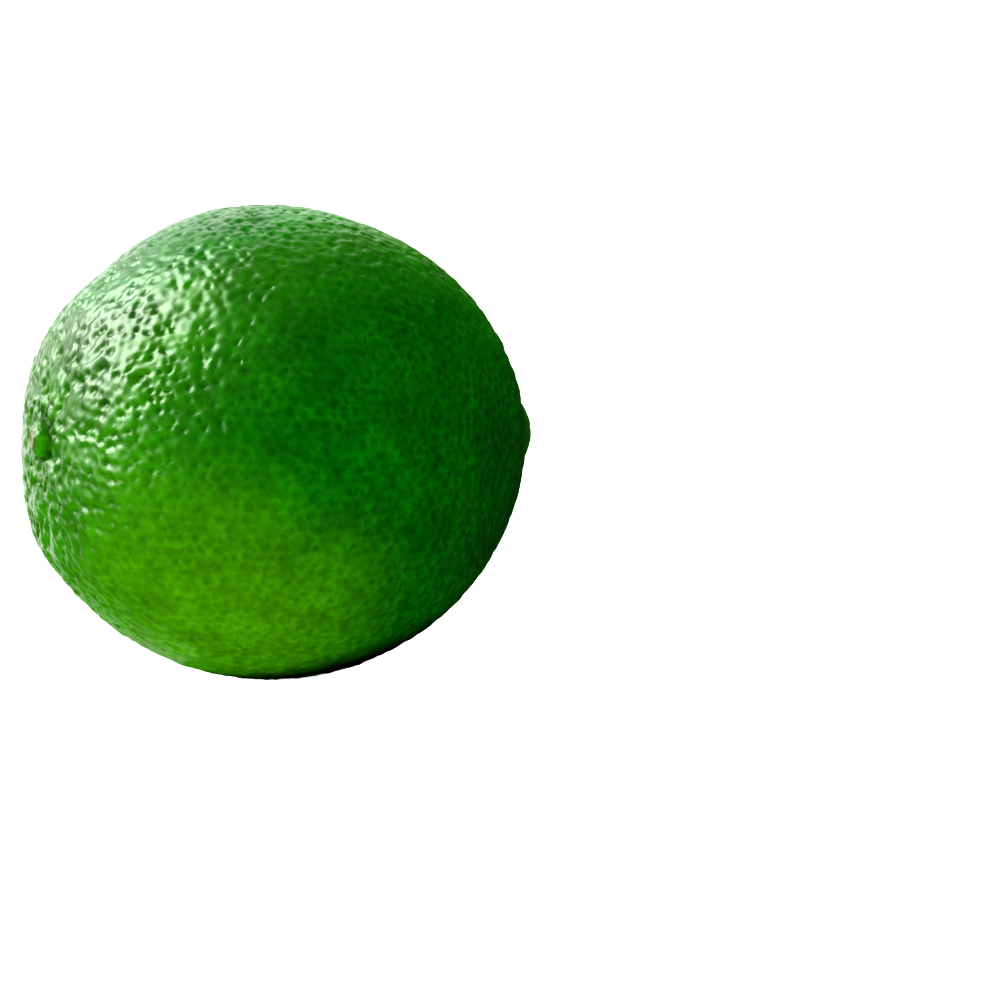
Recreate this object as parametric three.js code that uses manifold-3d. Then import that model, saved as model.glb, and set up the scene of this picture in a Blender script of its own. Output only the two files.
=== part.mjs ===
// A whole Persian lime lying on its side, with the button of its cut stalk.
// Millimetres, +Z up. The stem end points to -X and the nipple to +X. The origin is under the
// middle of the fruit's box, on the surface that it lies on.

import * as THREE from 'three';
import { mergeVertices } from 'three/addons/utils/BufferGeometryUtils.js';
import Module from 'manifold-3d';

// ---- driving dimensions ---------------------------------------------------------------------

const EQUATOR_RADIUS = 27.5;
const LONG_RADIUS = 29.45;         // half the length from stem end to blossom end, nipple left out
const LONG_AXIS_TILT = 2.5;        // degrees that the stem end is raised
const FLAT_SPOT_RADIUS = 4.4;      // the small flat that the fruit rests on

const SCAR_TILT = 7.6;             // degrees of the stem scar above the horizontal
const HOLLOW = { depth: 0.95, spread: 15 };                 // dip round the stalk, spread in degrees
const SHOULDER = { height: 0.4, at: 31, spread: 9 };        // low ring outside the dip

const NIPPLE_DROP = 4;             // degrees that the nipple points down
const NIPPLE = { height: 2.3, spread: 8.5, bluntness: 3 };
const NIPPLE_TAPER = { height: 0.9, spread: 19 };
const NIPPLE_GROOVE = { height: -0.3, at: 15.5, spread: 4 };

// Low swellings and flats of a fruit that grew unevenly: direction, height and spread in degrees.
const SWELLINGS = [
  { toward: [-0.13, 0.32, 0.94], height: 0.3, spread: 14 },
  { toward: [0.55, 0.02, 0.84], height: -0.35, spread: 16 },
  { toward: [-0.62, 0.44, 0.65], height: -0.3, spread: 13 },
  { toward: [-0.85, 0.43, 0.3], height: 0.2, spread: 11 },
  { toward: [-0.9, 0.27, -0.33], height: 0.3, spread: 12 },
  { toward: [0.35, -0.88, 0.2], height: 0.25, spread: 22 },
  { toward: [0.3, 0.9, -0.25], height: -0.3, spread: 20 },
];

// Peel: a triangular lattice over the fruit, in which every third point is a pit over an oil
// gland. The glands are twice the size and spacing of real ones, so that few triangles show them.
const PEEL_SEGMENTS = 24;          // lattice steps along each edge of the icosahedron
const PIT_DEPTH = 0.38;
const PIT_DEPTH_SPREAD = 0.4;      // share by which one pit's depth differs from another's
const RIM_UNEVENNESS = 0.06;
const LATTICE_JITTER = 0.22;       // share of a lattice step by which a point is moved sideways
const SMOOTH_PEEL_RADIUS = 4.5;    // peel without pits round the stalk
const SMOOTH_REST_HEIGHT = 0.8;    // peel without pits just above the flat spot

const SOCKET = { radius: 2.55, depth: 0.6, segments: 32 };   // where the stem button sits
const SEAT_GAP = 0.3;
const BUTTON_HEIGHT = 1.4;         // above the floor of the hollow
const BUTTON_LOBES = 5;
const LOBE_SHARE = 0.06;
const BUTTON_SEGMENTS = 30;

const SEED = 20260;

// ---- helpers --------------------------------------------------------------------------------

const wasm = await Module();
wasm.setup();

const DEGREES = Math.PI / 180;

// Small seeded generator of numbers from 0 to 1, so that each run draws the same ones.
function makeRandom(seed) {
  let state = seed;
  return () => {
    state = (state * 1664525 + 1013904223) % 4294967296;
    return state / 4294967296;
  };
}

const random = makeRandom(SEED);
const signedRandom = () => 2 * random() - 1;

function mergedPositions(geometry) {
  const bare = geometry.clone();
  bare.deleteAttribute('normal');
  bare.deleteAttribute('uv');
  return mergeVertices(bare, 1e-5);
}

function toSolid(geometry) {
  const merged = mergedPositions(geometry);
  const vertProperties = new Float32Array(merged.attributes.position.array);
  const triVerts = new Uint32Array(merged.index.array);
  return new wasm.Manifold(new wasm.Mesh({ numProp: 3, vertProperties, triVerts }));
}

function toGeometry(solid) {
  const mesh = solid.getMesh();
  const geometry = new THREE.BufferGeometry();
  geometry.setAttribute('position', new THREE.BufferAttribute(new Float32Array(mesh.vertProperties), 3));
  geometry.setIndex(new THREE.BufferAttribute(new Uint32Array(mesh.triVerts), 1));
  geometry.computeVertexNormals();
  return geometry;
}

// ---- the fruit's form -----------------------------------------------------------------------

// A direction in the fruit's upright middle plane, `rise` degrees above the given way along X.
function inMiddlePlane(way, rise) {
  return new THREE.Vector3(way * Math.cos(rise * DEGREES), 0, Math.sin(rise * DEGREES));
}

const longAxis = inMiddlePlane(-1, LONG_AXIS_TILT);
const scarWay = inMiddlePlane(-1, SCAR_TILT);
const nippleWay = inMiddlePlane(1, -NIPPLE_DROP);
const swellings = SWELLINGS.map((swelling) => ({
  ...swelling,
  way: new THREE.Vector3(...swelling.toward).normalize(),
}));

// A rounded rise of `height` at `at` degrees from a direction: a bump if `at` is 0, else a ring.
// The higher its bluntness, the flatter its top and the steeper its sides.
function rise(angle, { height, spread, at = 0, bluntness = 2 }) {
  return height * Math.exp(-(Math.abs((angle - at) / spread) ** bluntness));
}

// Distance from the fruit's middle to its surface without pits.
function bodyRadius(way) {
  const along = way.dot(longAxis);
  const lengthwise = (along / LONG_RADIUS) ** 2;
  const crosswise = (1 - along ** 2) / EQUATOR_RADIUS ** 2;
  const fromScar = way.angleTo(scarWay) / DEGREES;
  const fromNipple = way.angleTo(nippleWay) / DEGREES;
  let radius = 1 / Math.sqrt(lengthwise + crosswise);
  radius += rise(fromScar, { height: -HOLLOW.depth, spread: HOLLOW.spread });
  radius += rise(fromScar, SHOULDER);
  radius += rise(fromNipple, NIPPLE) + rise(fromNipple, NIPPLE_TAPER) + rise(fromNipple, NIPPLE_GROOVE);
  for (const swelling of swellings) {
    radius += rise(way.angleTo(swelling.way) / DEGREES, swelling);
  }
  return radius;
}

// Stands a shape that was made along +Y, from the floor of the hollow upwards, on the stem scar.
function standOnScar(geometry) {
  const upright = new THREE.Vector3(0, 1, 0);
  geometry.translate(0, bodyRadius(scarWay), 0);
  return geometry.applyQuaternion(new THREE.Quaternion().setFromUnitVectors(upright, scarWay));
}

// Which points of the lattice are pits: each triangle has exactly one. From the first triangle,
// whose first corner is a pit, the rule is carried over every shared edge to the next triangle.
function findPits(index, pointCount) {
  const trianglesAtEdge = new Map();
  const edgeKey = (a, b) => Math.min(a, b) * pointCount + Math.max(a, b);
  const triangleCount = index.length / 3;
  for (let t = 0; t < triangleCount; t++) {
    for (let k = 0; k < 3; k++) {
      const key = edgeKey(index[3 * t + k], index[3 * t + (k + 1) % 3]);
      trianglesAtEdge.set(key, [...(trianglesAtEdge.get(key) ?? []), t]);
    }
  }
  const isPit = new Array(pointCount).fill(false);
  isPit[index[0]] = true;
  const seen = new Set([0]);
  const queue = [0];
  while (queue.length > 0) {
    const t = queue.shift();
    for (let k = 0; k < 3; k++) {
      const a = index[3 * t + k];
      const b = index[3 * t + (k + 1) % 3];
      for (const next of trianglesAtEdge.get(edgeKey(a, b))) {
        if (seen.has(next)) continue;
        const corners = [index[3 * next], index[3 * next + 1], index[3 * next + 2]];
        const third = corners.find((corner) => corner !== a && corner !== b);
        isPit[third] = !isPit[a] && !isPit[b];
        seen.add(next);
        queue.push(next);
      }
    }
  }
  return isPit;
}

function makeFruit() {
  const lattice = mergedPositions(new THREE.IcosahedronGeometry(1, PEEL_SEGMENTS - 1));
  const position = lattice.attributes.position;
  const isPit = findPits(lattice.index.array, position.count);
  const sphereAreaPerPoint = 4 * Math.PI / position.count;
  const latticeStep = Math.sqrt(sphereAreaPerPoint * 2 / Math.sqrt(3));

  const smooth = [];
  for (let i = 0; i < position.count; i++) {
    const way = new THREE.Vector3().fromBufferAttribute(position, i);
    const shift = new THREE.Vector3(signedRandom(), signedRandom(), signedRandom());
    way.addScaledVector(shift, LATTICE_JITTER * latticeStep).normalize();
    smooth.push({ way, radius: bodyRadius(way) });
  }
  const lowest = Math.min(...smooth.map(({ way, radius }) => way.z * radius));
  const floor = lowest + FLAT_SPOT_RADIUS ** 2 / (2 * EQUATOR_RADIUS);

  smooth.forEach(({ way, radius }, i) => {
    const fromStalk = way.angleTo(scarWay) * radius;
    const aboveFloor = way.z * radius - floor;
    const fade = THREE.MathUtils.smoothstep(fromStalk, SMOOTH_PEEL_RADIUS, SMOOTH_PEEL_RADIUS * 1.6)
      * THREE.MathUtils.smoothstep(aboveFloor, SMOOTH_REST_HEIGHT, SMOOTH_REST_HEIGHT * 2);
    const relief = isPit[i]
      ? -PIT_DEPTH * (1 + PIT_DEPTH_SPREAD * signedRandom())
      : RIM_UNEVENNESS * signedRandom();
    const point = way.clone().multiplyScalar(radius + fade * relief);
    position.setXYZ(i, point.x, point.y, Math.max(point.z, floor));
  });

  const plugLength = SOCKET.depth + 2 * HOLLOW.depth;
  const plug = new THREE.CylinderGeometry(SOCKET.radius, SOCKET.radius, plugLength, SOCKET.segments);
  plug.translate(0, plugLength / 2 - SOCKET.depth, 0);
  return toGeometry(toSolid(lattice).subtract(toSolid(standOnScar(plug))));
}

// ---- the stem button ------------------------------------------------------------------------

// Half of the button's section: distance from its axis, height above the floor of the hollow.
function buttonProfile() {
  const base = SEAT_GAP - SOCKET.depth;
  return [
    [0, base],
    [1.75, base],
    [2.1, base + 0.15],
    [2.2, 0.15],
    [2.18, 0.5],
    [2.0, 0.85],
    [1.72, 1.15],
    [1.42, BUTTON_HEIGHT],
    [1.25, BUTTON_HEIGHT - 0.06],
    [0.7, BUTTON_HEIGHT - 0.16],
    [0, BUTTON_HEIGHT - 0.1],
  ].map(([x, y]) => new THREE.Vector2(x, y));
}

function makeStemButton() {
  const geometry = mergedPositions(new THREE.LatheGeometry(buttonProfile(), BUTTON_SEGMENTS));
  const position = geometry.attributes.position;
  for (let i = 0; i < position.count; i++) {
    const x = position.getX(i);
    const z = position.getZ(i);
    const lobe = 1 - LOBE_SHARE * (0.5 - 0.5 * Math.cos(BUTTON_LOBES * Math.atan2(z, x)));
    position.setXYZ(i, x * lobe, position.getY(i), z * lobe);
  }
  standOnScar(geometry).computeVertexNormals();
  return geometry;
}

// ---- the part -------------------------------------------------------------------------------

const peel = new THREE.MeshStandardMaterial({ color: 0x2f7d12, roughness: 0.35, metalness: 0 });
const calyx = new THREE.MeshStandardMaterial({ color: 0x5d8f2a, roughness: 0.5, metalness: 0 });

function namedMesh(name, geometry, material) {
  const mesh = new THREE.Mesh(geometry, material);
  mesh.name = name;
  return mesh;
}

const lime = new THREE.Group();
lime.add(namedMesh('fruit', makeFruit(), peel));
lime.add(namedMesh('stem_button', makeStemButton(), calyx));

// Stand the fruit on its flat spot, with the origin under the middle of its box.
const box = new THREE.Box3().setFromObject(lime);
const middle = box.getCenter(new THREE.Vector3());
lime.position.set(-middle.x, -middle.y, -box.min.z);

export default lime;
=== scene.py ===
import math

import bpy
import numpy as np
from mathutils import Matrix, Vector, kdtree, noise


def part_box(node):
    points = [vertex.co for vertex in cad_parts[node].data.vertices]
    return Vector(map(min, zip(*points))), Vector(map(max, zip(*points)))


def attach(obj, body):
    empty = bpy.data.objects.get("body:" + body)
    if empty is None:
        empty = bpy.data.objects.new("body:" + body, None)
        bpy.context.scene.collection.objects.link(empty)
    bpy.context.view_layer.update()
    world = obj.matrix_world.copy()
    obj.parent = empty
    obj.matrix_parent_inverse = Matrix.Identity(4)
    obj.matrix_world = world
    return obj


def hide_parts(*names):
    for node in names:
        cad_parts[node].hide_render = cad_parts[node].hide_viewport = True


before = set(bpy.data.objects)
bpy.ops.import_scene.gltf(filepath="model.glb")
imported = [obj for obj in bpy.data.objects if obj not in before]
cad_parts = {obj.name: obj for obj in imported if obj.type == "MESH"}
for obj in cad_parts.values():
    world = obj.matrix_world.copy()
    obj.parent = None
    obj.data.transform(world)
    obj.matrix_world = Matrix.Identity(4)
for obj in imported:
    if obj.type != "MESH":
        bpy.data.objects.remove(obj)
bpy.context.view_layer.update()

# A whole Persian lime lying on its side. The stem end points to -X, the nipple to +X.
# The CAD nodes give the place and size. Two finer pieces stand for them: the peel, with a pit
# over every oil gland, and the button of the cut stalk.

MM = 0.001
TINY = 1e-9                # keeps a direction from having no length

# ---- the fruit's form, in millimetres and degrees --------------------------------------------

EQUATOR_RADIUS = 27.5
LONG_RADIUS = 29.45        # half the length from stem end to blossom end, nipple left out
LONG_AXIS_TILT = 2.5       # the stem end is raised by this
FLAT_SPOT_RADIUS = 4.4     # the small flat that the fruit rests on

SCAR_TILT = 7.6            # the stem scar's rise above the horizontal
HOLLOW = dict(height=-0.95, spread=15)               # dip round the stalk
SHOULDER = dict(height=0.4, at=31, spread=9)         # low ring outside the dip

NIPPLE_DROP = 4            # the nipple points down by this
NIPPLE = dict(height=2.3, spread=8.5, bluntness=3)
NIPPLE_TAPER = dict(height=0.9, spread=19)
NIPPLE_GROOVE = dict(height=-0.3, at=15.5, spread=4)
STYLE_SCAR = dict(height=-0.45, spread=1.6)          # where the style dropped off the nipple

# Low swellings and flats of a fruit that grew unevenly: direction, height and spread.
SWELLINGS = [
    ((-0.13, 0.32, 0.94), dict(height=0.3, spread=14)),
    ((0.55, 0.02, 0.84), dict(height=-0.35, spread=16)),
    ((-0.62, 0.44, 0.65), dict(height=-0.3, spread=13)),
    ((-0.85, 0.43, 0.3), dict(height=0.2, spread=11)),
    ((-0.9, 0.27, -0.33), dict(height=0.3, spread=12)),
    ((0.35, -0.88, 0.2), dict(height=0.25, spread=22)),
    ((0.3, 0.9, -0.25), dict(height=-0.3, spread=20)),
]

# the middle of the fruit without its nipple, in the part's own frame
FRUIT_MIDDLE = Vector((-1.88, 0.21, 27.15)) * MM

# the low front side toward the stem: a yellower green, partly the peel's own and partly painted
# light where the low lamp falls, with shallower pits
YELLOW_SIDE_WAY = (-0.474, -0.714, -0.515)

# ---- the peel's relief. A pair is where a thing begins and where it is full or gone. ---------

SEED = 41

GLAND_STEPS = 24           # glands along each edge of the icosahedron: 1.4 mm apart on the fruit
GLAND_SHIFT = 0.036        # how far a gland lies off the even lattice, on a ball of radius 1
CUTS_PER_GLAND = 3         # mesh points between two glands
GLANDS_IN_REACH = 5        # pits that may shape one point of the peel
FINE_STALK_REACH = 6.0     # mm round the scar and round the nipple's tip with a finer mesh
FINE_NIPPLE_REACH = 3.5

PIT_SHIFT = 0.3            # mm by which a pit lies off its gland's mesh point
PIT_DEPTH = 0.28
PIT_RADIUS = 0.33          # of the narrow pit over the gland
DIMPLE_RADIUS = 0.56       # of the wide dimple round it
DIMPLE_SHARE = 0.32
PIT_START = (2.0, 2.6)     # mm from the stalk's axis

PIT_SIZES = (0.65, 1.3)    # the smallest and largest pit, as shares of the usual size
STALK_SIZE = 0.35          # pits near the stalk are wider by this share
STALK_SIZE_FADE = (15, 40)           # degrees from the scar
SHALLOWEST = 0.3           # depth of the shallowest pit, as a share of the usual depth
DEPTH_RANGE = 1.1          # added to it at most
DEPTH_BIAS = 1.6           # above 1 there are more shallow pits than deep ones
DEEPEST_SHARE = 2.8        # the most that pits near the stalk reach together, in the same share
STALK_DEPTH = 0.9          # pits near the stalk are deeper by this share
STALK_DEPTH_FADE = (28, 62)          # degrees from the scar
YELLOW_SIDE_FLATNESS = 0.55     # pits on the yellow side are shallower by this share
YELLOW_SIDE_EDGE = (0.5, 0.95)            # cosine of the angle to YELLOW_SIDE_WAY

PIT_TURN = 30              # degrees that a drawn-out pit may point off the fruit's length
PIT_STRETCH = 1.3          # pits near the stalk are up to this much longer than wide
STRETCH_SHARES = (0.3, 1)            # of that, from pit to pit
STRETCH_START = (6, 20)              # degrees from the scar
STRETCH_FADE = (10, 52)

WARP = 0.38                # mm by which the pits' outlines are bent
WARP_SIZE = 0.8            # mm from one bend to the next
WARP_AT_STALK = 0.4        # share of it that is left near the stalk
WARP_FADE = (20, 40)                 # degrees from the scar

COLLAR_FURROW = dict(height=-0.2, at=2.5, spread=0.35)   # crease round the button, in mm
FURROW_LOBES = 3           # places round the button where the furrow is deepest
FURROW_TURN = 1.2          # radians
FURROW_UNEVENNESS = 0.3
FOLD_COUNT = 7             # puckers that run out from the button
FOLD_DEPTH = 0.3
FOLD_SHARPNESS = 3
FOLD_UNEVENNESS = 1.3      # how unevenly they stand round it
FOLD_TURN = 0.8            # radians
FOLD_START = (1.9, 2.8)              # mm from the stalk's axis
FOLD_FADE = (3.2, 6.5)

# clouds that move the peel in and out: name, size and height in mm, and levels of detail
WAVES = ("waves", 5.0, 0.1, 1)
RIPPLES = ("ripples", 1.5, 0.32, 1)
LUMPS = ("lumps", 1.1, 0.5, 0)       # only on the collar round the stalk
WAVE_START = (1.5, 2.5)              # mm from the stalk's axis
LUMP_START = (1.6, 3.0)
LUMP_FADE = (6, 14)
EVEN = 0.5                 # level of a cloud at which a point stays where it is
FLOOR_FADE = (0.0, 0.5)              # mm above the flat spot, which stays smooth

# ---- the peel's colours and gloss ------------------------------------------------------------

LEAF_GREEN = "#468F04"     # where no side has another green
# sides of the fruit, each with its green, one laid over the other; the deep green and the dull
# patch carry painted shade, the yellow-green partly painted light: the direction, how many mm out
# from the fruit's middle the green begins and is full, and the green
SIDES = [
    ((0.337, -0.941, 0.005), (3.5, 25.5), "#067304"),        # deep green on the front right, partly the peel's own and partly painted shade
    ((-0.742, -0.191, 0.642), (26.6, 29.3), "#387404"),      # darker green where the main highlight falls, above the stalk: painted shade
    ((-0.165, 0.373, 0.913), (18, 24.2), "#228904"),         # top
    (YELLOW_SIDE_WAY, (19, 29.2), "#518902"),                     # yellow-green, partly the peel's own and partly painted light where the low lamp falls
]
SIDE_DRIFT = 1.8           # mm by which the edge of a side wanders
SIDE_PATCHES = dict(size=13, detail=2, low=0.3, high=0.7)

CLOUDED = "#BEBEBE"        # faint darker clouds, wide ones and small ones
CLOUDED_SHARE = 0.5
CLOUDED_PATCHES = [
    dict(size=7, detail=3, low=0.3, high=0.65),
    dict(size=1.1, detail=3, low=0.3, high=0.65),
]

NET_TINT = "#205004"       # the paler lines between the glands
NET_SHARE = 0.6
NET_WIDTH = 0.3            # a line lies where two pits are equally near, within this
NET_PATCHES = dict(size=3, detail=2, low=0.35, high=0.65)

GLAND_TINT = "#8CA88C"     # the oil shows through as a darker spot
GLAND_SHARE = 0.3
SPOT_RADIUS = 0.55
PALEST_SPOT = 0.25         # as a share of the darkest

CREASE_SHADE_GREEN = "#123C06"    # painted shade in the furrow round the button
CREASE_SHADE_SHARE = 0.6
STALK_PATCH_RADIUS = 2.9   # mm
STYLE_BROWN = "#5E5C2C"
STYLE_PATCH_RADIUS = 2.2   # degrees

PEEL_ROUGHNESS = (0.38, 0.46)
ROUGHNESS_PATCHES = dict(size=1.2, detail=2, low=0.3, high=0.7)
BARE_ROUGHNESS = 0.4       # added round the button, where there is no wax
SKIN_IOR = 1.5
SKIN_GLOSS = 0.4           # specular level of the peel under its wax
WAX_IOR = 1.55
WAX_ROUGHNESS = 0.31
BLOOM_FACING = (0.45, 0.7)           # how far the peel turns away where bloom dulls the wax
BLOOM_GLOSS = 0.6          # share of the gloss that is left there
GRAIN_SIZE = 0.6           # mm, of the skin's cells between the pits
GRAIN_DEPTH = 0.07         # mm
GRAIN_STRENGTH = 0.5

# ---- the stem button, in millimetres ---------------------------------------------------------

BUTTON_SIDES = 40
BUTTON_LOBES = 5
LOBE_SHARE = 0.13
# distance from the axis and height above the floor of the hollow, from the base to the cut face
BUTTON_RINGS = [
    (2.0, -0.55), (2.2, -0.2), (2.25, 0.1), (2.18, 0.42), (2.0, 0.68), (1.76, 0.88),
    (1.52, 1.02), (1.32, 1.12), (1.2, 1.17), (1.08, 1.16), (0.98, 1.08), (0.85, 1.04),
    (0.5, 1.06), (0.25, 1.02),
]
CUT_SLANT = 0.12           # the stalk was cut off aslant
BUTTON_LUMP_SIZE = 0.9
BUTTON_LUMP_HEIGHT = 0.28

CUT_HEIGHT = 0.75          # above this a point belongs to the stub
CUT_EDGE = (1.15, 1.35)    # distance from the axis
CUT_RIM = dict(height=1, at=1.3, spread=0.2)
SKIN_GREENS = ("#226808", "#4C8C18")
WOOD_TANS = ("#646E34", "#7A8850")
RIM_BROWN = "#3F4A18"
RIM_SHARE = 0.35
MOTTLE_SIZE = 0.6
MOTTLE_DEPTH = 0.05
MOTTLE_STRENGTH = 0.5
BUTTON_ROUGHNESS = 0.32
BUTTON_GLOSS = 0.8

# ---- camera ----------------------------------------------------------------------------------

CAMERA_DISTANCE = 0.43
CAMERA_AZIMUTH = -25.6
CAMERA_ELEVATION = 15.9
LENS = 133.1
SENSOR = 36.0
NEAR_CLIP = 0.01
PICTURE_SIZE = 1000
FRUIT_PIXEL = (269.1, 442.9)       # where the fruit's middle shows in the picture

# ---- stage and light, in metres unless named otherwise ---------------------------------------

FLOOR_RADIUS = 2.5
WALL_HEIGHT = 1.5
FLOOR_GREY = "#8C8C8A"
FLOOR_ROUGHNESS = 0.9
FLOOR_GLOSS = 0.1
WHITE = "#FFFFFF"
FLOOR_GLOW = 0.8
SHADED_GLOW = 0.1          # glow of the board right under the fruit: a painted contact shadow
SHADED_FLOOR_MM = (2, 9)

CONTACT_SHADE_MM = 19
CONTACT_SHADE_PLACE = (4 * MM, -4 * MM, -0.6 * MM)
CONTACT_SHADE_GREEN = "#101410"

LAMP_WHITE = "#FFFCF2"
# name, place, width and height, and power in watts
FILLS = [
    ("top_fill", (0.0, -0.36, 0.585), (0.6, 0.6), 5.15),
    ("low_fill", (-0.152, -0.222, -0.275), (0.3, 0.3), 1.9),
    ("side_fill", (-0.42, -0.02, -0.12), (0.3, 0.3), 1.1),
    ("back_fill", (0.42, 0.36, 0.16), (0.4, 0.4), 3.0),
    ("low_back_fill", (0.25, 0.25, -0.15), (0.2, 0.2), 0.6),
]

# what the gloss mirrors. A glow has a direction, a strength, and the degrees from its middle at
# which it begins to fade and is gone.
DARK_SIDE = 0.03           # strength where there is no glow
WALL_GLOWS = [
    ((-0.6, 0.48, 0.64), 4.5, 16, 33),
    ((-0.36, 0.66, 0.66), 0.8, 0, 24),
    ((0.3, 0.68, 0.67), 0.4, 0, 22),
    ((0.2, 0.95, 0.25), 1.25, 0, 31),
    ((-0.92, 0.25, 0.22), 1.5, 10, 36),
]
WALL_FOOT = (-0.2, 0.05)   # rise of the direction over which the walls' glows come in
TABLE_GLOWS = [
    ((-0.22, 0.97, -0.1), 1.45, 0, 28),
    ((0.05, 0.85, -0.52), 0.42, 0, 28),
]


# ---- helpers ---------------------------------------------------------------------------------


def linear(hex_colour):
    """An sRGB hex colour as linear red, green, blue and alpha."""
    channels = [int(hex_colour[i:i + 2], 16) / 255 for i in (1, 3, 5)]
    return tuple(
        c / 12.92 if c <= 0.04045 else ((c + 0.055) / 1.055) ** 2.4 for c in channels
    ) + (1.0,)


def add_node(tree, kind, inputs=None, **settings):
    """Adds a node. An input that is given a socket is linked to it, any other gets the value."""
    node = tree.nodes.new(kind)
    for name, value in settings.items():
        setattr(node, name, value)
    for name, value in (inputs or {}).items():
        if isinstance(value, bpy.types.NodeSocket):
            tree.links.new(value, node.inputs[name])
        else:
            node.inputs[name].default_value = value
    return node


def add_material(name):
    """Returns a new material, its node tree and its shader."""
    material = bpy.data.materials.new(name)
    material.use_nodes = True
    return material, material.node_tree, material.node_tree.nodes["Principled BSDF"]


def deselect_all():
    if bpy.context.object is not None and bpy.context.object.mode != "OBJECT":
        bpy.ops.object.mode_set(mode="OBJECT")
    bpy.ops.object.select_all(action="DESELECT")


def points_of(piece):
    flat = np.empty(len(piece.data.vertices) * 3)
    piece.data.vertices.foreach_get("co", flat)
    return flat.reshape(-1, 3)


def move_points(piece, points):
    piece.data.vertices.foreach_set("co", np.asarray(points, float).ravel())
    piece.data.update()


def in_middle_plane(way, rise_degrees):
    """A direction in the fruit's upright middle plane, so far above the given way along X."""
    angle = math.radians(rise_degrees)
    return np.array([way * math.cos(angle), 0.0, math.sin(angle)])


LONG_AXIS = in_middle_plane(-1, LONG_AXIS_TILT)
SCAR_WAY = in_middle_plane(-1, SCAR_TILT)
NIPPLE_WAY = in_middle_plane(1, -NIPPLE_DROP)


def unit(vectors):
    return vectors / np.linalg.norm(vectors, axis=-1, keepdims=True)


def degrees_from(ways, way):
    way = np.asarray(way, float) / np.linalg.norm(way)
    return np.degrees(np.arccos(np.clip(ways @ way, -1, 1)))


def smooth_step(value, low, high):
    t = np.clip((value - low) / (high - low), 0, 1)
    return t * t * (3 - 2 * t)


def rise(distance, height, spread, at=0, bluntness=2):
    """A rounded rise at that distance: a bump if it is 0, else a ring."""
    return height * np.exp(-(np.abs((distance - at) / spread) ** bluntness))


def body_radius(ways):
    """Distance in mm from the fruit's middle to its surface without pits."""
    along = ways @ LONG_AXIS
    radius = 1 / np.sqrt((along / LONG_RADIUS) ** 2 + (1 - along ** 2) / EQUATOR_RADIUS ** 2)
    from_scar = degrees_from(ways, SCAR_WAY)
    from_nipple = degrees_from(ways, NIPPLE_WAY)
    radius += rise(from_scar, **HOLLOW) + rise(from_scar, **SHOULDER)
    radius += rise(from_nipple, **NIPPLE) + rise(from_nipple, **NIPPLE_TAPER)
    radius += rise(from_nipple, **NIPPLE_GROOVE)
    for way, swelling in SWELLINGS:
        radius += rise(degrees_from(ways, way), **swelling)
    return radius


def add_displace(piece, name, strength, group=None, texture=None, mid_level=0.0):
    """Moves a piece's points along their normals by a modifier, and applies it."""
    displace = piece.modifiers.new(name, "DISPLACE")
    displace.strength = strength
    displace.mid_level = mid_level
    if group is not None:
        displace.vertex_group = group
    if texture is not None:
        displace.texture = texture
        displace.texture_coords = "LOCAL"
    bpy.context.view_layer.objects.active = piece
    bpy.ops.object.modifier_apply(modifier=displace.name)


def add_group(piece, name, weights):
    """Adds a vertex group with a weight for every point and returns its name."""
    group = piece.vertex_groups.new(name=name)
    levels = np.round(np.clip(weights, 0, 1), 3)
    for level in np.unique(levels):
        if level > 0:
            group.add(np.flatnonzero(levels == level).tolist(), float(level), "REPLACE")
    return group.name


def add_attribute(piece, name, values):
    """Stores a number at every point, which the piece's material reads by that name."""
    layer = piece.data.attributes.new(name, "FLOAT", "POINT")
    layer.data.foreach_set("value", np.asarray(values, np.float32))


def clouds(name, size_mm, detail=2):
    """A texture of soft clouds of that size, for a displace modifier."""
    texture = bpy.data.textures.new(name, "CLOUDS")
    texture.noise_scale = size_mm * MM
    texture.noise_depth = detail
    return texture


# ---- peel ------------------------------------------------------------------------------------


def select_near(piece, way, reach):
    """Selects the faces within that many mm of a direction from the middle of the unit ball."""
    bpy.ops.mesh.select_all(action="DESELECT")
    bpy.ops.object.mode_set(mode="OBJECT")
    centres = np.empty(len(piece.data.polygons) * 3)
    piece.data.polygons.foreach_get("center", centres)
    near = degrees_from(unit(centres.reshape(-1, 3)), way) < math.degrees(reach / LONG_RADIUS)
    piece.data.polygons.foreach_set("select", near)
    bpy.ops.object.mode_set(mode="EDIT")


def make_gland_lattice():
    """Returns a finely meshed ball and the directions of the oil glands, which lie on it."""
    deselect_all()
    bpy.ops.mesh.primitive_ico_sphere_add(subdivisions=1, radius=1)
    peel = bpy.context.object
    peel.name = "fruit_peel"
    bpy.ops.object.mode_set(mode="EDIT")
    bpy.ops.mesh.select_mode(type="FACE")
    bpy.ops.mesh.select_all(action="SELECT")
    bpy.ops.mesh.subdivide(number_cuts=GLAND_STEPS - 1)
    bpy.ops.transform.tosphere(value=1)
    bpy.ops.transform.vertex_random(offset=GLAND_SHIFT, uniform=0, normal=0, seed=SEED)
    bpy.ops.mesh.vertices_smooth(factor=0.5, repeat=1)
    bpy.ops.transform.tosphere(value=1)
    bpy.ops.object.mode_set(mode="OBJECT")
    glands = unit(points_of(peel))
    bpy.ops.object.mode_set(mode="EDIT")
    bpy.ops.mesh.subdivide(number_cuts=CUTS_PER_GLAND)
    for way, reach in ((SCAR_WAY, FINE_STALK_REACH), (NIPPLE_WAY, FINE_NIPPLE_REACH)):
        select_near(peel, way, reach)
        bpy.ops.mesh.subdivide(number_cuts=1)
    bpy.ops.object.mode_set(mode="OBJECT")
    return peel, glands


def turned(vectors, axes, angles):
    """Vectors turned about unit axes that they are square to."""
    return vectors * np.cos(angles)[:, None] + np.cross(axes, vectors) * np.sin(angles)[:, None]


def lengthwise(ways):
    """Directions on the surface that run from the stem end to the nipple."""
    return unit(np.cross(np.cross(ways, SCAR_WAY), ways) + TINY)


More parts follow.
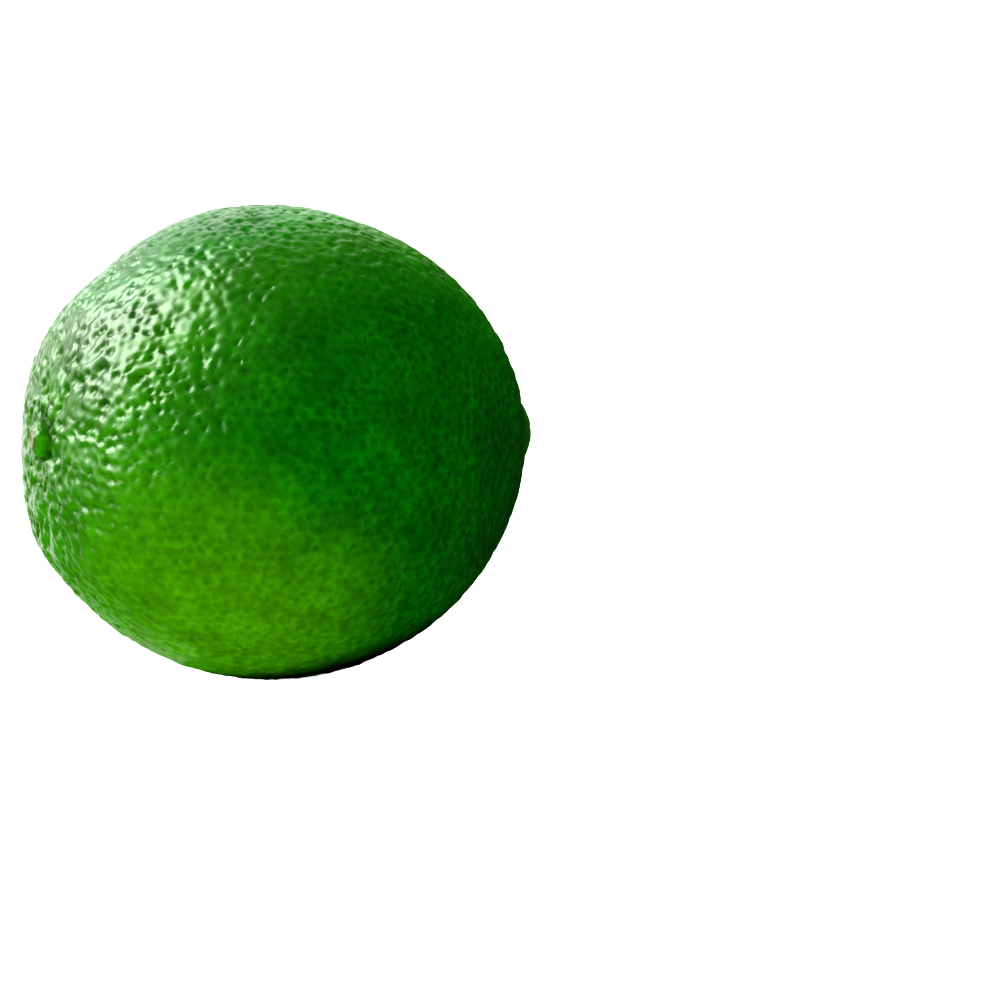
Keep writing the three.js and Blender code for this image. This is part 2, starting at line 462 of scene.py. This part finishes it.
class Glands:
    """The oil glands: their places in mm, and the size, depth and direction of their pits."""

    def __init__(self, ways):
        rng = np.random.default_rng(SEED)
        count = len(ways)
        start = lengthwise(ways)
        from_scar = degrees_from(ways, SCAR_WAY)

        shift = turned(start, ways, rng.uniform(0, 2 * math.pi, count))
        shift = shift * rng.uniform(0, PIT_SHIFT, (count, 1))
        self.places = ways * body_radius(ways)[:, None] + shift
        self.along = turned(start, ways, np.radians(rng.uniform(-PIT_TURN, PIT_TURN, count)))

        drawn_out = 1 - smooth_step(from_scar, *STRETCH_FADE)
        drawn_out *= smooth_step(from_scar, *STRETCH_START)
        self.stretch = 1 + PIT_STRETCH * drawn_out * rng.uniform(*STRETCH_SHARES, count)

        on_yellow_side = smooth_step(ways @ unit(np.array(YELLOW_SIDE_WAY)), *YELLOW_SIDE_EDGE)
        near_stalk = 1 - smooth_step(from_scar, *STALK_DEPTH_FADE)
        self.depth = SHALLOWEST + DEPTH_RANGE * rng.uniform(0, 1, count) ** DEPTH_BIAS
        self.depth *= 1 + STALK_DEPTH * near_stalk - YELLOW_SIDE_FLATNESS * on_yellow_side

        near_stalk = 1 - smooth_step(from_scar, *STALK_SIZE_FADE)
        self.size = rng.uniform(*PIT_SIZES, count) * (1 + STALK_SIZE * near_stalk)
        self.tone = rng.uniform(0, 1, count)

        self.tree = kdtree.KDTree(count)
        for i, place in enumerate(self.places):
            self.tree.insert(place, i)
        self.tree.balance()

    def around(self, points):
        """The glands nearest to each point, and its distance to each, shrunk along the pit."""
        near = np.array([[hit[1] for hit in self.tree.find_n(point, GLANDS_IN_REACH)]
                         for point in points])
        offset = points[:, None] - self.places[near]
        along = np.sum(offset * self.along[near], axis=2)
        across = np.linalg.norm(offset - along[..., None] * self.along[near], axis=2)
        return near, np.hypot(along / self.stretch[near], across) / self.size[near]


def creases_round_button(ways, from_stalk):
    """Heights in mm, below 0, of the furrow round the button and of the puckers outside it."""
    side = np.cross(SCAR_WAY, (0, 0, 1))
    turn = np.arctan2(ways @ side, ways @ np.cross(side, SCAR_WAY))
    phase = FOLD_COUNT * turn + FOLD_UNEVENNESS * np.sin(2 * turn) + FOLD_TURN
    puckers = 0.5 + 0.5 * np.cos(phase)
    fold_reach = smooth_step(from_stalk, *FOLD_START) * (1 - smooth_step(from_stalk, *FOLD_FADE))
    lobes = FURROW_UNEVENNESS * np.cos(FURROW_LOBES * turn + FURROW_TURN)
    furrow = rise(from_stalk, **COLLAR_FURROW) * (1 - FURROW_UNEVENNESS + lobes)
    return furrow - FOLD_DEPTH * puckers ** FOLD_SHARPNESS * fold_reach


def make_peel():
    """Returns the peel and the shift from the fruit's middle to the part's frame, in metres."""
    peel, gland_ways = make_gland_lattice()
    ways = unit(points_of(peel))
    radius = body_radius(ways)
    body = ways * radius[:, None]
    from_scar = degrees_from(ways, SCAR_WAY)
    from_nipple = degrees_from(ways, NIPPLE_WAY)
    from_stalk = np.radians(from_scar) * radius
    at_stalk = smooth_step(from_stalk, *PIT_START)

    # pits, spots of oil and the net of lines between them
    glands = Glands(gland_ways)
    noise.seed_set(SEED)       # without it the bends differ from run to run
    warp = np.array([noise.noise_vector(Vector(point / WARP_SIZE)) for point in body])
    warp_share = WARP_AT_STALK + (1 - WARP_AT_STALK) * smooth_step(from_scar, *WARP_FADE)
    warp *= warp_share[:, None]
    near, distance = glands.around(body + WARP * warp)
    pits = ((1 - DIMPLE_SHARE) * np.exp(-(distance / PIT_RADIUS) ** 2)
            + DIMPLE_SHARE * np.exp(-(distance / DIMPLE_RADIUS) ** 2))
    pits = np.linalg.norm(glands.depth[near] * pits, axis=1) * at_stalk
    spots = PALEST_SPOT + (1 - PALEST_SPOT) * glands.tone[near]
    spots = spots * np.exp(-(distance / SPOT_RADIUS) ** 2)
    spots = spots.max(axis=1) * at_stalk
    nearest = np.sort(distance, axis=1)
    net = np.exp(-((nearest[:, 1] - nearest[:, 0]) / NET_WIDTH) ** 2)

    lowest = body[:, 2].min()
    floor = lowest + FLAT_SPOT_RADIUS ** 2 / (2 * EQUATOR_RADIUS)
    off_floor = smooth_step(body[:, 2] - floor, *FLOOR_FADE)
    creases = creases_round_button(ways, from_stalk) + rise(from_nipple, **STYLE_SCAR)
    move_points(peel, ways * (radius + creases)[:, None] * MM)

    bpy.ops.object.select_all(action="DESELECT")
    peel.select_set(True)
    group = add_group(peel, "pits", pits * off_floor / DEEPEST_SHARE)
    add_displace(peel, "pits", -PIT_DEPTH * DEEPEST_SHARE * MM, group=group)
    free = add_group(peel, "free_of_floor", off_floor * smooth_step(from_stalk, *WAVE_START))
    collar = smooth_step(from_stalk, *LUMP_START) * (1 - smooth_step(from_stalk, *LUMP_FADE))
    collar = add_group(peel, "collar", collar)
    for (name, size, height, detail), where in ((WAVES, free), (RIPPLES, free), (LUMPS, collar)):
        texture = clouds(name, size, detail)
        add_displace(peel, name, height * MM, group=where, texture=texture, mid_level=EVEN)
    points = points_of(peel)
    points[:, 2] = np.maximum(points[:, 2], floor * MM)

    low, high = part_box("fruit")
    shift = (np.array(low) + np.array(high) - points.min(0) - points.max(0)) / 2
    shift[2] = -floor * MM
    move_points(peel, points + shift)

    add_attribute(peel, "gland", spots)
    add_attribute(peel, "net", net)
    add_attribute(peel, "stalk", np.exp(-(from_stalk / STALK_PATCH_RADIUS) ** 4))
    add_attribute(peel, "style", np.exp(-(from_nipple / STYLE_PATCH_RADIUS) ** 2))
    bpy.ops.object.shade_smooth()
    peel.vertex_groups.clear()
    return peel, shift


def peel_material():
    """Waxed citrus peel: a satin clear skin over green flesh, darker over each oil gland."""
    material, tree, shader = add_material("waxed_lime_peel")
    place = add_node(tree, "ShaderNodeTexCoord").outputs["Object"]
    from_middle = add_node(tree, "ShaderNodeVectorMath", {0: place, 1: FRUIT_MIDDLE},
                           operation="SUBTRACT").outputs["Vector"]
    gland, net, stalk, style = (
        add_node(tree, "ShaderNodeAttribute", attribute_name=name).outputs["Fac"]
        for name in ("gland", "net", "stalk", "style"))

    def patches(size, detail, low, high, least=0.0, most=1.0):
        """Soft patches of that many mm, from the least value to the most."""
        cloud = add_node(tree, "ShaderNodeTexNoise",
                         {"Vector": place, "Scale": 1 / (size * MM), "Detail": detail})
        return add_node(tree, "ShaderNodeMapRange",
                        {"Value": cloud.outputs["Fac"], "From Min": low, "From Max": high,
                         "To Min": least, "To Max": most}).outputs["Result"]

    def side(way, from_mm, to_mm):
        """1 on the side of the fruit that faces that way, with an uneven edge."""
        depth = add_node(tree, "ShaderNodeVectorMath",
                         {0: from_middle, 1: way}, operation="DOT_PRODUCT").outputs["Value"]
        drift = add_node(tree, "ShaderNodeMath",
                         {0: patches(**SIDE_PATCHES), 1: SIDE_DRIFT * MM, 2: depth},
                         operation="MULTIPLY_ADD").outputs[0]
        return add_node(tree, "ShaderNodeMapRange",
                        {"Value": drift, "From Min": from_mm * MM, "From Max": to_mm * MM},
                        interpolation_type="SMOOTHSTEP").outputs["Result"]

    threads = add_node(tree, "ShaderNodeMath", {0: net, 1: patches(**NET_PATCHES)},
                       operation="MULTIPLY").outputs[0]
    # where a layer of colour lies, how strong it is there, the colour and how it is laid on
    layers = [(side(way, *reach), 1.0, green, "MIX") for way, reach, green in SIDES]
    layers += [(patches(**cloud), CLOUDED_SHARE, CLOUDED, "MULTIPLY") for cloud in CLOUDED_PATCHES]
    layers += [
        (threads, NET_SHARE, NET_TINT, "SCREEN"),
        (gland, GLAND_SHARE, GLAND_TINT, "MULTIPLY"),
        # painted shade in the furrow round the button
        (stalk, CREASE_SHADE_SHARE, CREASE_SHADE_GREEN, "MIX"),
        (style, 1.0, STYLE_BROWN, "MIX"),
    ]
    ground = linear(LEAF_GREEN)
    for where, strength, tint, blend in layers:
        share = add_node(tree, "ShaderNodeMath", {0: where, 1: strength}, operation="MULTIPLY")
        ground = add_node(tree, "ShaderNodeMix", {0: share.outputs[0], 6: ground, 7: linear(tint)},
                          data_type="RGBA", blend_type=blend).outputs[2]
    tree.links.new(ground, shader.inputs["Base Color"])

    grain = add_node(tree, "ShaderNodeTexNoise",
                     {"Vector": place, "Scale": 1 / (GRAIN_SIZE * MM), "Detail": 3})
    bump = add_node(tree, "ShaderNodeBump",
                    {"Height": grain.outputs["Fac"], "Strength": GRAIN_STRENGTH,
                     "Distance": GRAIN_DEPTH * MM})
    tree.links.new(bump.outputs["Normal"], shader.inputs["Normal"])

    smoothest, roughest = PEEL_ROUGHNESS
    roughness = patches(**ROUGHNESS_PATCHES, least=smoothest, most=roughest)
    roughness = add_node(tree, "ShaderNodeMath", {0: stalk, 1: BARE_ROUGHNESS, 2: roughness},
                         operation="MULTIPLY_ADD")
    tree.links.new(roughness.outputs[0], shader.inputs["Roughness"])

    # wax bloom scatters what grazes it, so the gloss grows less toward the edge
    facing = add_node(tree, "ShaderNodeLayerWeight", {"Blend": 0.5}).outputs["Facing"]
    bloom_begins, bloom_is_full = BLOOM_FACING
    bloom = add_node(tree, "ShaderNodeMapRange",
                     {"Value": facing, "From Min": bloom_begins, "From Max": bloom_is_full,
                      "To Min": 1.0, "To Max": BLOOM_GLOSS}).outputs["Result"]
    wax = add_node(tree, "ShaderNodeMath", {0: 1.0, 1: stalk}, operation="SUBTRACT").outputs[0]
    for share, name in ((wax, "Coat Weight"), (SKIN_GLOSS, "Specular IOR Level")):
        gloss = add_node(tree, "ShaderNodeMath", {0: bloom, 1: share}, operation="MULTIPLY")
        tree.links.new(gloss.outputs[0], shader.inputs[name])
    shader.inputs["IOR"].default_value = SKIN_IOR
    shader.inputs["Coat IOR"].default_value = WAX_IOR
    shader.inputs["Coat Roughness"].default_value = WAX_ROUGHNESS
    return material


# ---- stem button -----------------------------------------------------------------------------


def make_button(shift):
    """The dried calyx and the stub of the stalk, set into the hollow at the stem scar."""
    deselect_all()
    radius, height = BUTTON_RINGS[0]
    bpy.ops.mesh.primitive_circle_add(vertices=BUTTON_SIDES, radius=radius * MM,
                                      fill_type="NGON", location=(0, 0, height * MM))
    button = bpy.context.object
    button.name = "stem_button_calyx"
    bpy.ops.object.mode_set(mode="EDIT")
    bpy.ops.mesh.select_all(action="SELECT")
    for next_radius, next_height in BUTTON_RINGS[1:]:
        bpy.ops.mesh.extrude_region_move(
            TRANSFORM_OT_translate={"value": (0, 0, (next_height - height) * MM)})
        bpy.ops.transform.resize(value=(next_radius / radius, next_radius / radius, 1))
        radius, height = next_radius, next_height
    bpy.ops.mesh.poke()
    bpy.ops.mesh.select_all(action="SELECT")
    bpy.ops.mesh.normals_make_consistent(inside=False)
    bpy.ops.object.mode_set(mode="OBJECT")
    bpy.ops.object.transform_apply(location=True, rotation=True, scale=True)

    points = points_of(button)
    turn = np.arctan2(points[:, 1], points[:, 0])
    lobes = 1 - LOBE_SHARE * (0.5 - 0.5 * np.cos(BUTTON_LOBES * turn))
    points[:, :2] *= lobes[:, None]
    points[:, 2] *= 1 - CUT_SLANT * points[:, 1] / MM
    move_points(button, points)

    smoother = button.modifiers.new("smoother", "SUBSURF")
    smoother.levels = 2
    smoother.render_levels = 2
    bpy.ops.object.modifier_apply(modifier=smoother.name)
    texture = clouds("button_lumps", BUTTON_LUMP_SIZE)
    add_displace(button, "lumps", BUTTON_LUMP_HEIGHT * MM, texture=texture, mid_level=EVEN)

    points = points_of(button) / MM
    from_axis = np.hypot(points[:, 0], points[:, 1])
    on_top = points[:, 2] > CUT_HEIGHT
    add_attribute(button, "cut", on_top * (1 - smooth_step(from_axis, *CUT_EDGE)))
    add_attribute(button, "rim", on_top * rise(from_axis, **CUT_RIM))

    tilt = Vector((0, 0, 1)).rotation_difference(Vector(SCAR_WAY))
    place = SCAR_WAY * body_radius(SCAR_WAY[None])[0] * MM + shift
    move_points(button, points * MM @ np.array(tilt.to_matrix()).T + place)
    bpy.ops.object.shade_smooth()
    return button


def button_material():
    """Calyx skin, smooth and satin green, with the dry tan wood of the cut stalk."""
    material, tree, shader = add_material("calyx_and_cut_stalk")
    place = add_node(tree, "ShaderNodeTexCoord").outputs["Object"]
    mottle = add_node(tree, "ShaderNodeTexNoise",
                      {"Vector": place, "Scale": 1 / (MOTTLE_SIZE * MM), "Detail": 3})
    mottle = mottle.outputs["Fac"]
    skin, wood = (
        add_node(tree, "ShaderNodeMix", {0: mottle, 6: linear(dark), 7: linear(light)},
                 data_type="RGBA").outputs[2]
        for dark, light in (SKIN_GREENS, WOOD_TANS))
    colour = skin
    for name, strength, tint in (("cut", 1.0, wood), ("rim", RIM_SHARE, linear(RIM_BROWN))):
        where = add_node(tree, "ShaderNodeAttribute", attribute_name=name).outputs["Fac"]
        share = add_node(tree, "ShaderNodeMath", {0: where, 1: strength}, operation="MULTIPLY")
        colour = add_node(tree, "ShaderNodeMix", {0: share.outputs[0], 6: colour, 7: tint},
                          data_type="RGBA").outputs[2]
    tree.links.new(colour, shader.inputs["Base Color"])
    bump = add_node(tree, "ShaderNodeBump",
                    {"Height": mottle, "Strength": MOTTLE_STRENGTH, "Distance": MOTTLE_DEPTH * MM})
    tree.links.new(bump.outputs["Normal"], shader.inputs["Normal"])
    shader.inputs["Roughness"].default_value = BUTTON_ROUGHNESS
    shader.inputs["Specular IOR Level"].default_value = BUTTON_GLOSS
    return material


# ---- stage, light and camera -----------------------------------------------------------------


def camera_axes(azimuth, elevation):
    """The camera's right, up and back directions."""
    a, e = math.radians(azimuth), math.radians(elevation)
    back = Vector((math.sin(a) * math.cos(e), -math.cos(a) * math.cos(e), math.sin(e)))
    right = Vector((math.cos(a), math.sin(a), 0))
    return right, back.cross(right), back


def make_camera():
    """Aims past the fruit, so that its middle shows at FRUIT_PIXEL."""
    right, up, back = camera_axes(CAMERA_AZIMUTH, CAMERA_ELEVATION)
    pixel = CAMERA_DISTANCE * SENSOR / LENS / PICTURE_SIZE
    half = PICTURE_SIZE / 2
    aim = FRUIT_MIDDLE + right * (half - FRUIT_PIXEL[0]) * pixel
    aim -= up * (half - FRUIT_PIXEL[1]) * pixel
    camera = bpy.data.objects.new("camera", bpy.data.cameras.new("camera"))
    camera.data.lens = LENS
    camera.data.sensor_width = SENSOR
    camera.data.clip_start = NEAR_CLIP
    camera.location = aim + back * CAMERA_DISTANCE
    camera.rotation_euler = back.to_track_quat("Z", "Y").to_euler()
    bpy.context.scene.collection.objects.link(camera)
    bpy.context.scene.camera = camera


def make_floor():
    """A matt white board with walls that glows, dimmer right under the fruit as a painted shadow.
    """
    deselect_all()
    bpy.ops.mesh.primitive_circle_add(vertices=96, radius=FLOOR_RADIUS, fill_type="NGON",
                                      location=(0, 0, WALL_HEIGHT))
    floor = bpy.context.object
    floor.name = "floor"
    bpy.ops.object.mode_set(mode="EDIT")
    bpy.ops.mesh.select_all(action="SELECT")
    bpy.ops.mesh.extrude_region_move(TRANSFORM_OT_translate={"value": (0, 0, -WALL_HEIGHT)})
    bpy.ops.object.mode_set(mode="OBJECT")
    bpy.ops.object.transform_apply(location=True, rotation=True, scale=True)

    material, tree, shader = add_material("matt_white_board")
    shader.inputs["Base Color"].default_value = linear(FLOOR_GREY)
    shader.inputs["Roughness"].default_value = FLOOR_ROUGHNESS
    shader.inputs["Specular IOR Level"].default_value = FLOOR_GLOSS
    shader.inputs["Emission Color"].default_value = linear(WHITE)
    place = add_node(tree, "ShaderNodeTexCoord").outputs["Object"]
    distance = add_node(tree, "ShaderNodeVectorMath", {0: place}, operation="LENGTH")
    shade_ends, light_is_full = SHADED_FLOOR_MM
    glow = add_node(tree, "ShaderNodeMapRange",
                    {"Value": distance.outputs["Value"], "From Min": shade_ends * MM,
                     "From Max": light_is_full * MM, "To Min": SHADED_GLOW, "To Max": FLOOR_GLOW},
                    interpolation_type="SMOOTHSTEP")
    tree.links.new(glow.outputs["Result"], shader.inputs["Emission Strength"])
    material.cycles.emission_sampling = "NONE"
    floor.data.materials.append(material)
    floor.visible_glossy = False
    floor.visible_diffuse = False
    floor.visible_shadow = False


def make_contact_shade():
    """Keeps the low light off the peel close to where the fruit touches the board."""
    deselect_all()
    bpy.ops.mesh.primitive_circle_add(vertices=64, radius=CONTACT_SHADE_MM * MM,
                                      fill_type="NGON", location=CONTACT_SHADE_PLACE)
    shade = bpy.context.object
    shade.name = "contact_shade"
    bpy.ops.object.transform_apply(location=True, rotation=True, scale=True)
    material, _, shader = add_material("board_in_the_shade")
    shader.inputs["Base Color"].default_value = linear(CONTACT_SHADE_GREEN)
    shader.inputs["Specular IOR Level"].default_value = 0.0
    shade.data.materials.append(material)
    shade.visible_camera = False
    shade.visible_diffuse = False


def make_light(name, place, size, power):
    """A soft lamp aimed at the fruit, which the gloss does not mirror."""
    lamp = bpy.data.lights.new(name, "AREA")
    lamp.shape = "RECTANGLE"
    lamp.size, lamp.size_y = size
    lamp.energy = power
    lamp.color = linear(LAMP_WHITE)[:3]
    lamp.cycles.use_multiple_importance_sampling = False     # else the gloss shows a trace of it
    light = bpy.data.objects.new(name, lamp)
    light.location = place
    light.rotation_euler = (Vector(place) - FRUIT_MIDDLE).to_track_quat("Z", "Y").to_euler()
    light.visible_glossy = False
    bpy.context.scene.collection.objects.link(light)


def make_world():
    """What the waxed peel mirrors: soft bright walls behind the fruit on its stem side."""
    world = bpy.data.worlds.new("studio")
    bpy.context.scene.world = world
    world.use_nodes = True
    tree = world.node_tree
    way = add_node(tree, "ShaderNodeTexCoord").outputs["Generated"]

    def with_glow(light, middle, strength, core, reach):
        """Adds a round bright patch, even out to the core's angle and gone at the reach's."""
        near = add_node(tree, "ShaderNodeVectorMath", {0: way, 1: Vector(middle).normalized()},
                        operation="DOT_PRODUCT").outputs["Value"]
        near = add_node(tree, "ShaderNodeMapRange",
                        {"Value": near, "From Min": math.cos(math.radians(reach)),
                         "From Max": math.cos(math.radians(core))},
                        interpolation_type="SMOOTHSTEP").outputs["Result"]
        return add_node(tree, "ShaderNodeMath", {0: near, 1: strength, 2: light},
                        operation="MULTIPLY_ADD").outputs[0]

    light = 0.0
    for glow in WALL_GLOWS:
        light = with_glow(light, *glow)
    height = add_node(tree, "ShaderNodeSeparateXYZ", {0: way}).outputs["Z"]
    foot_begins, foot_ends = WALL_FOOT
    above = add_node(tree, "ShaderNodeMapRange",
                     {"Value": height, "From Min": foot_begins, "From Max": foot_ends},
                     interpolation_type="SMOOTHSTEP").outputs["Result"]
    light = add_node(tree, "ShaderNodeMath", {0: light, 1: above, 2: DARK_SIDE},
                     operation="MULTIPLY_ADD").outputs[0]
    for glow in TABLE_GLOWS:
        light = with_glow(light, *glow)
    background = tree.nodes["Background"]
    background.inputs["Color"].default_value = linear(WHITE)
    tree.links.new(light, background.inputs["Strength"])
    world.cycles_visibility.diffuse = False


# ---- the scene -------------------------------------------------------------------------------

make_camera()
peel, shift = make_peel()
peel.data.materials.append(peel_material())
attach(peel, "root")
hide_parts("fruit")

button = make_button(shift)
button.data.materials.append(button_material())
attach(button, "root")
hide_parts("stem_button")

make_floor()
make_contact_shade()
make_world()
for fill in FILLS:
    make_light(*fill)
bpy.context.scene.view_settings.view_transform = "Standard"
bpy.context.scene.view_settings.look = "Very High Contrast"
